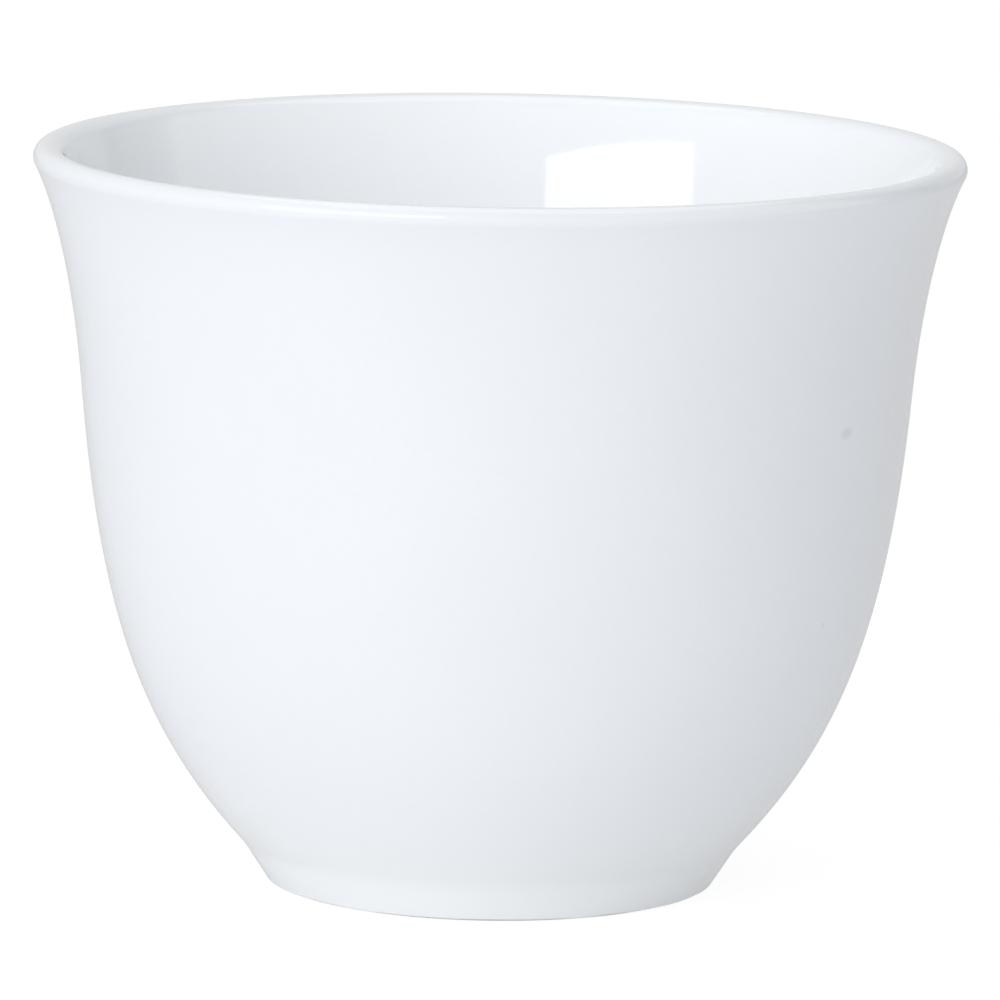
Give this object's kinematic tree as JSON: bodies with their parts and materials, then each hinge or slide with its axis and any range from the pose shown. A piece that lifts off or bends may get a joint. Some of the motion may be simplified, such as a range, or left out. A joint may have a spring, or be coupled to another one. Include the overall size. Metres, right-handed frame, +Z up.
{
  "type": "arabic coffee cup",
  "caption": "Handleless white porcelain coffee cup with a flared, rounded lip, a deep bell-shaped bowl and a short tapered foot; it holds a small serving of coffee.",
  "frame": {"origin": "on the cup's axis, in the plane that the foot stands on", "axes": "+Z up along the cup's axis, from the foot to the mouth; the cup is round, so +X and +Y are any two directions across it"},
  "size_m": [0.066, 0.066, 0.0525],
  "materials": {
    "biscuit_porcelain": "matte",
    "clear_glaze_over_white": "polished"
  },
  "bodies": {
    "root": {"porcelain_body": "biscuit_porcelain", "glaze_coat": "clear_glaze_over_white", "foot_well_glaze": "clear_glaze_over_white"}
  },
  "joints": []
}
